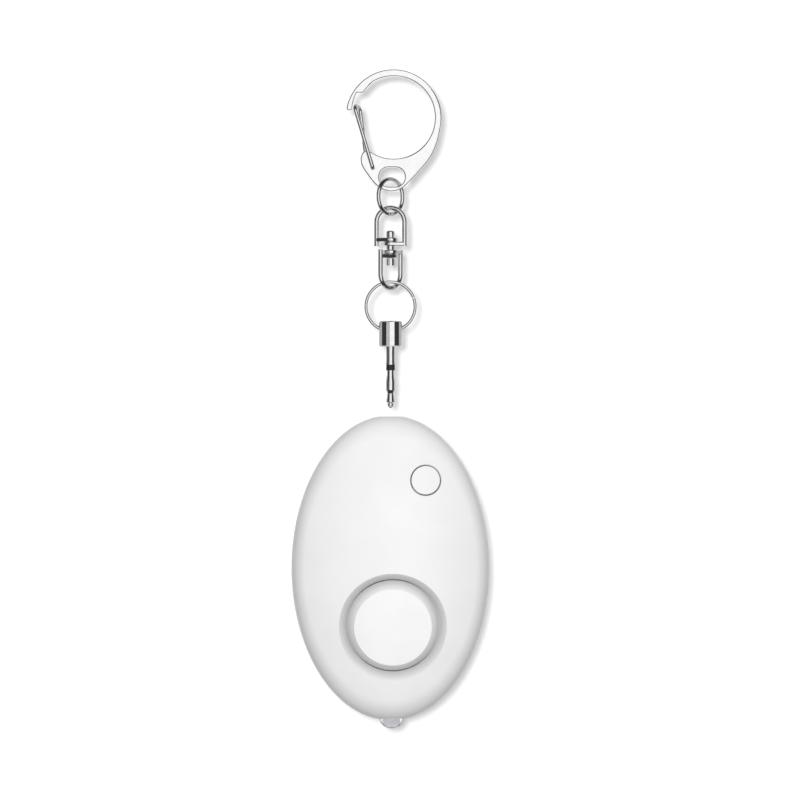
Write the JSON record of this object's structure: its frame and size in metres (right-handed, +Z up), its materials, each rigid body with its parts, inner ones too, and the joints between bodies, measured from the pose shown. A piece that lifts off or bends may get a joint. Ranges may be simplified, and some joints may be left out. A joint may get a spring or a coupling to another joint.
{
  "type": "personal safety alarm",
  "caption": "Egg-shaped pull-pin alarm with siren, torch button and lamp, hung by its pin from a ring, swivel, link and spring-gate key clip.",
  "frame": {"origin": "the point inside the top of the clip's bow that it hangs from", "axes": "+Z up along the hanging line, the siren and torch button face -Y, the torch button is on the +X side"},
  "size_m": [0.0396, 0.0194, 0.1318],
  "materials": {
    "white_shell": "smooth moulded plastic, half gloss",
    "white_cap": "smooth moulded plastic, half gloss",
    "white_button": "smooth moulded plastic, half gloss",
    "screw_steel": "bright zinc",
    "black_plastic": "matt",
    "sounder_brass": "rolled",
    "sounder_ceramic": "silvered ceramic",
    "lead_sheath": "soft sheath",
    "board_green": "solder mask",
    "ferrite": "ground ferrite",
    "capacitor_can": "drawn can",
    "lamp_lens": "clear moulded lens with a blue-violet tint",
    "tinned_wire": "tinned",
    "cell_steel": "nickel-plated steel",
    "contact_nickel": "nickel-plated spring strip",
    "pin_chrome": "polished, with fine turning marks",
    "pin_band": "moulded black band",
    "ring_nickel": "bright nickel wire",
    "shackle_nickel": "bright nickel wire",
    "rivet_nickel": "bright nickel",
    "clip_chrome": "polished die casting",
    "gate_wire": "bright spring wire"
  },
  "bodies": {
    "clip": {"clip_body": "clip_chrome"},
    "gate": {"clip_gate": "gate_wire"},
    "link": {"oval_link": "ring_nickel"},
    "swivel_top": {"upper_shackle": "shackle_nickel", "swivel_rivet": "rivet_nickel"},
    "swivel_bottom": {"lower_shackle": "shackle_nickel"},
    "ring": {"jump_ring": "ring_nickel"},
    "pull_pin": {"pin_barrel": "pin_chrome", "pin_sleeve": "pin_chrome", "pin_insulator": "pin_band", "pin_tip": "pin_chrome"},
    "alarm_case": {"front_shell": "white_shell", "rear_shell": "white_shell", "case_screws": "screw_steel", "siren_cap": "white_cap", "piezo_ring": "black_plastic", "piezo_disc": "sounder_brass", "piezo_ceramic": "sounder_ceramic", "piezo_leads": "lead_sheath", "circuit_board": "board_green", "tact_switch": "black_plastic", "driver_chip": "black_plastic", "transistor": "black_plastic", "inductor": "ferrite", "capacitor": "capacitor_can", "resistors": "black_plastic", "torch_led": "lamp_lens", "led_leads": "tinned_wire", "button_cells": "cell_steel", "cell_contacts": "contact_nickel", "pin_socket": "black_plastic", "socket_contacts": "contact_nickel"},
    "button": {"torch_button": "white_button", "switch_plunger": "black_plastic"}
  },
  "joints": [
    {"name": "gate_swing", "type": "hinge", "parent": "clip", "child": "gate", "pos_m": [-0.00355, 0, -0.01833], "axis": [0, 1, 0], "range_deg": [0, 28], "stiffness_Nm_per_rad": 0.02, "springref_deg": -8.59},
    {"name": "link_swing", "type": "hinge", "parent": "clip", "child": "link", "pos_m": [0, 0, -0.0205], "axis": [0, 1, 0], "range_deg": [-30, 30]},
    {"name": "shackle_swing", "type": "hinge", "parent": "link", "child": "swivel_top", "pos_m": [0, 0, -0.02694], "axis": [0, 1, 0], "range_deg": [-30, 30]},
    {"name": "swivel_turn", "type": "hinge", "parent": "swivel_top", "child": "swivel_bottom", "pos_m": [0, 0, -0.03429], "axis": [0, 0, 1], "continuous": true},
    {"name": "ring_swing", "type": "hinge", "parent": "swivel_bottom", "child": "ring", "pos_m": [0, 0, -0.04232], "axis": [0, 1, 0], "range_deg": [-40, 40]},
    {"name": "pin_swing", "type": "hinge", "parent": "ring", "child": "pull_pin", "pos_m": [0, 0, -0.046], "axis": [0, 1, 0], "range_deg": [-50, 50]},
    {"name": "pin_travel", "type": "slide", "parent": "pull_pin", "child": "alarm_case", "axis": [0, 0, 1], "range_m": [0, 0.01379]},
    {"name": "button_press", "type": "slide", "parent": "alarm_case", "child": "button", "axis": [0, 1, 0], "range_m": [0, 0.0005], "stiffness_N_per_m": 3000, "springref_m": -0.0002}
  ]
}
